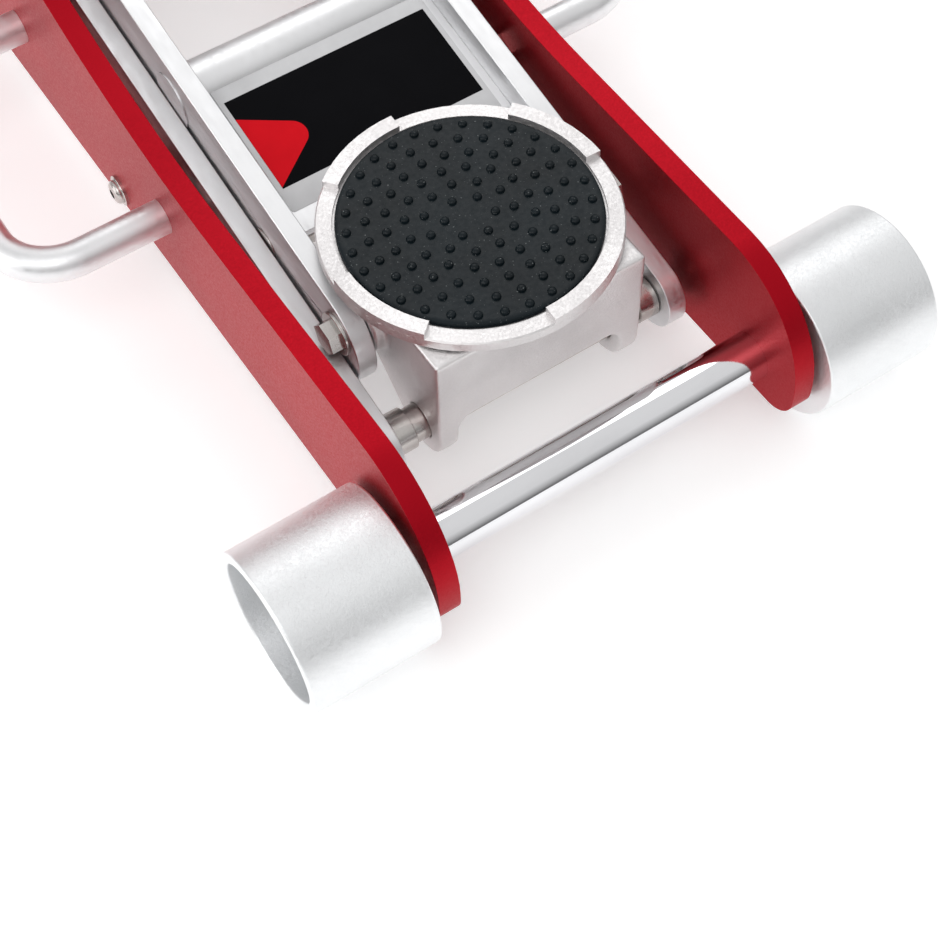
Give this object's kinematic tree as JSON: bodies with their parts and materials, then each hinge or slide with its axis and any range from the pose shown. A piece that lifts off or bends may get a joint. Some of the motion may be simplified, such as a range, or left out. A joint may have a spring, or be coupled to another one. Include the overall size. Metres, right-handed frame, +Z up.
{
  "type": "car jack",
  "caption": "Low-profile trolley jack: long lift arm with a swivelling padded saddle, side plates on wheels, hydraulic ram and pump handle.",
  "frame": {"origin": "centre of the footprint at floor height, with the handle parked upright", "axes": "+Z up, front wheels and saddle towards -Y, handle towards +Y, +X to the right seen from behind the handle"},
  "size_m": [0.336, 0.687, 1.2544],
  "materials": {
    "red_plate": "gloss red anodised",
    "cast_aluminium": "satin silver, fine cast grain",
    "rolled_aluminium": "brushed satin silver",
    "wheel_silver": "matt silver with a fine sparkle",
    "chrome_steel": "mirror polished",
    "zinc_steel": "zinc plated",
    "dark_steel": "oil blackened",
    "black_iron": "black enamel on a cast block",
    "red_steel": "gloss red paint",
    "bronze": "sintered bronze",
    "pad_rubber": "matt black, round studs",
    "grip_foam": "matt black foam",
    "label_film": "black film with a light margin and a plain red patch",
    "seal_rubber": "smooth black",
    "caster_tread": "silver grey moulding"
  },
  "bodies": {
    "frame": {"plate_left": "red_plate", "plate_right": "red_plate", "front_axle": "chrome_steel", "axle_washers": "zinc_steel", "axle_rings": "dark_steel", "carry_handle_left": "rolled_aluminium", "carry_handle_right": "rolled_aluminium", "carry_nuts": "zinc_steel", "tie_rods": "zinc_steel", "button_screws": "zinc_steel", "arm_shaft": "zinc_steel", "shaft_nuts": "zinc_steel", "side_spacers": "zinc_steel", "link_bolts": "zinc_steel", "tank": "red_steel", "barrel": "zinc_steel", "gland": "zinc_steel", "pump_block": "black_iron", "block_bolts": "zinc_steel", "filler_plug": "seal_rubber", "handle_bolts": "zinc_steel", "caster_brackets": "zinc_steel", "caster_screws": "zinc_steel", "caster_kingpins": "zinc_steel"},
    "wheel_left": {"wheel_left": "wheel_silver", "wheel_bush_left": "bronze"},
    "wheel_right": {"wheel_right": "wheel_silver", "wheel_bush_right": "bronze"},
    "lift_arm": {"arm_left": "rolled_aluminium", "arm_right": "rolled_aluminium", "arm_cover": "rolled_aluminium", "arm_label": "label_film", "cross_tube": "rolled_aluminium", "cross_rod": "zinc_steel", "arm_hub": "rolled_aluminium", "arm_bushes": "bronze", "upper_bolts": "zinc_steel", "upper_washers": "zinc_steel"},
    "links": {"link_left": "rolled_aluminium", "link_right": "rolled_aluminium", "lower_pin": "zinc_steel", "pin_collars": "zinc_steel"},
    "bracket": {"saddle_bracket": "cast_aluminium"},
    "saddle": {"saddle": "cast_aluminium", "saddle_pad": "pad_rubber"},
    "ram": {"ram": "chrome_steel", "ram_seal": "seal_rubber", "ram_head": "dark_steel", "ram_pin": "zinc_steel"},
    "pump": {"pump_pistons": "zinc_steel"},
    "valve": {"release_valve": "zinc_steel"},
    "socket": {"handle_socket": "red_steel", "rollers": "zinc_steel", "lock_screw": "dark_steel"},
    "handle": {"handle_tubes": "rolled_aluminium", "handle_grips": "grip_foam"},
    "caster_left": {"caster_fork_left": "zinc_steel"},
    "caster_right": {"caster_fork_right": "zinc_steel"},
    "caster_wheel_left": {"caster_wheel_left": "caster_tread"},
    "caster_wheel_right": {"caster_wheel_right": "caster_tread"}
  },
  "joints": [
    {"name": "wheel_spin_left", "type": "hinge", "parent": "frame", "child": "wheel_left", "pos_m": [0, -0.3075, 0.036], "axis": [1, 0, 0], "continuous": true},
    {"name": "wheel_spin_right", "type": "hinge", "parent": "frame", "child": "wheel_right", "pos_m": [0, -0.3075, 0.036], "axis": [1, 0, 0], "continuous": true},
    {"name": "lift", "type": "hinge", "parent": "frame", "child": "lift_arm", "pos_m": [0, 0.13367, 0.13421], "axis": [-1, 0, 0], "range_deg": [0, 68]},
    {"name": "link_swing", "type": "hinge", "parent": "frame", "child": "links", "pos_m": [0, 0.09817, 0.10121], "axis": [-1, 0, 0], "range_deg": [0, 68]},
    {"name": "bracket_level", "type": "hinge", "parent": "lift_arm", "child": "bracket", "pos_m": [0, -0.22, 0.067], "axis": [-1, 0, 0], "range_deg": [-68, 0]},
    {"name": "saddle_swivel", "type": "hinge", "parent": "bracket", "child": "saddle", "pos_m": [0, -0.2188, 0.0962], "axis": [0, 0, 1], "continuous": true},
    {"name": "ram_slide", "type": "slide", "parent": "frame", "child": "ram", "axis": [0, -1, 0], "range_m": [0, 0.0621]},
    {"name": "handle_tilt", "type": "hinge", "parent": "frame", "child": "socket", "pos_m": [0, 0.3235, 0.13], "axis": [-1, 0, 0], "range_deg": [0, 65]},
    {"name": "pump_slide", "type": "slide", "parent": "frame", "child": "pump", "axis": [0, -1, 0], "range_m": [0, 0.0216]},
    {"name": "handle_twist", "type": "hinge", "parent": "socket", "child": "handle", "pos_m": [0, 0.3235, 0.13], "axis": [0, -0.0698, 0.9976], "range_deg": [0, 90]},
    {"name": "valve_turn", "type": "hinge", "parent": "frame", "child": "valve", "pos_m": [0, 0.3125, 0.13], "axis": [0, 1, 0], "range_deg": [0, 90]},
    {"name": "caster_swivel_left", "type": "hinge", "parent": "frame", "child": "caster_left", "pos_m": [-0.122, 0.2775, 0.062], "axis": [0, 0, 1], "continuous": true},
    {"name": "caster_spin_left", "type": "hinge", "parent": "caster_left", "child": "caster_wheel_left", "pos_m": [-0.122, 0.2975, 0.025], "axis": [1, 0, 0], "continuous": true},
    {"name": "caster_swivel_right", "type": "hinge", "parent": "frame", "child": "caster_right", "pos_m": [0.122, 0.2775, 0.062], "axis": [0, 0, 1], "continuous": true},
    {"name": "caster_spin_right", "type": "hinge", "parent": "caster_right", "child": "caster_wheel_right", "pos_m": [0.122, 0.2975, 0.025], "axis": [1, 0, 0], "continuous": true}
  ],
  "couplings": [
    {"joint": "link_swing", "follows": "lift", "ratio": 1},
    {"joint": "bracket_level", "follows": "lift", "ratio": -1},
    {"joint": "ram_slide", "follows": "lift", "m_per_rad": 0.0522},
    {"joint": "pump_slide", "follows": "handle_tilt", "m_per_rad": 0.01895},
    {"joint": "valve_turn", "follows": "handle_twist", "ratio": 1}
  ]
}
